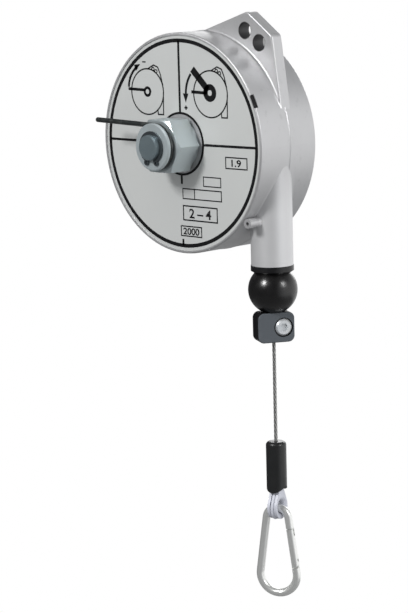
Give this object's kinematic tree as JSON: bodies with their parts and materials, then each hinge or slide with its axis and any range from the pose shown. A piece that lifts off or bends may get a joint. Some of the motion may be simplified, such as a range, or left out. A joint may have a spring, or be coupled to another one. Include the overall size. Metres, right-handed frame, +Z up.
{
  "type": "spring tool balancer",
  "caption": "Hanging spring balancer: round cast drum housing with suspension eyes, tension hub with release lever, rope outlet with ball buffer, steel rope and snap hook.",
  "frame": {"origin": "middle of the suspension eye, half way through the bracket", "axes": "+Z up, drum axis along Y with the dial face and hub towards -Y, rope hanging along -Z on the +X side"},
  "size_m": [0.1516, 0.088, 0.4008],
  "materials": {
    "cast_aluminium": "sand-smooth die casting, lightly blasted",
    "label_aluminium": "satin anodised plate with black print",
    "zinc_steel": "bright zinc plated steel",
    "dark_steel": "dark blackened wire",
    "spring_steel": "blued spring strip, oiled",
    "rope_steel": "stranded galvanised wire rope",
    "bearing_bronze": "sintered bronze",
    "washer_plastic": "natural acetal",
    "black_plastic": "black moulded plastic",
    "buffer_rubber": "smooth black rubber",
    "grey_plastic": "dark grey moulded plastic",
    "grey_plastic_pale": "pale grey moulded plastic",
    "soft_aluminium": "pressed aluminium"
  },
  "bodies": {
    "housing": {"housing_casting": "cast_aluminium", "rear_cover": "cast_aluminium", "rear_cover_screws": "zinc_steel", "label_plate": "label_aluminium", "front_bush": "bearing_bronze", "rear_bush": "bearing_bronze", "stop_pin": "zinc_steel", "outlet_bush": "black_plastic"},
    "adjuster": {"arbor": "zinc_steel", "hub_sleeve": "zinc_steel", "hub_key": "zinc_steel", "hub_collar": "zinc_steel", "retaining_ring": "zinc_steel"},
    "release": {"release_lever": "dark_steel"},
    "drum": {"rope_drum": "cast_aluminium", "drum_cover": "cast_aluminium", "drum_cover_screws": "zinc_steel", "drum_front_bush": "bearing_bronze", "drum_rear_bush": "bearing_bronze", "front_thrust_washer": "washer_plastic", "rear_thrust_washer": "washer_plastic", "rope_winding": "rope_steel", "rope_anchor": "zinc_steel", "power_spring": "spring_steel", "spring_rivet": "zinc_steel"},
    "rope_end": {"rope": "rope_steel", "ball_buffer": "buffer_rubber", "clamp_front_half": "grey_plastic", "clamp_rear_half": "grey_plastic", "clamp_screw": "zinc_steel", "clamp_nut": "zinc_steel", "rope_ferrule": "soft_aluminium", "rope_sleeve": "black_plastic", "thimble": "grey_plastic_pale", "rope_eye": "rope_steel"},
    "hook": {"hook_body": "zinc_steel", "gate_pin": "zinc_steel"},
    "gate": {"hook_gate": "zinc_steel", "gate_spring": "zinc_steel"}
  },
  "joints": [
    {"name": "drum_spin", "type": "hinge", "parent": "housing", "child": "drum", "pos_m": [-0.0398, -0.004, -0.0756], "axis": [0, 1, 0], "range_deg": [0, 1925], "stiffness_Nm_per_rad": 0.02, "springref_deg": -3437.75, "deforming": ["power_spring"]},
    {"name": "rope_pull", "type": "slide", "parent": "housing", "child": "rope_end", "axis": [0, 0, -1], "range_m": [0, 2], "deforming": ["rope"]},
    {"name": "tension_adjust", "type": "hinge", "parent": "housing", "child": "adjuster", "pos_m": [-0.0398, -0.028, -0.0756], "axis": [0, 1, 0], "range_deg": [-3240, 0]},
    {"name": "lever_release", "type": "hinge", "parent": "housing", "child": "release", "pos_m": [-0.0398, -0.052, -0.0756], "axis": [0, 1, 0], "range_deg": [0, 25], "stiffness_Nm_per_rad": 0.05, "springref_deg": -17.19},
    {"name": "hook_swing", "type": "hinge", "parent": "rope_end", "child": "hook", "pos_m": [0.0197, -0.004, -0.32515], "axis": [0.9239, 0.3827, 0], "range_deg": [-60, 60]},
    {"name": "gate_open", "type": "hinge", "parent": "hook", "child": "gate", "pos_m": [0.03101, 0.00068, -0.36378], "axis": [0.3827, -0.9239, 0], "range_deg": [0, 26], "stiffness_Nm_per_rad": 0.01, "springref_deg": -28.65}
  ],
  "couplings": [
    {"joint": "rope_pull", "follows": "drum_spin", "m_per_rad": 0.0595}
  ]
}
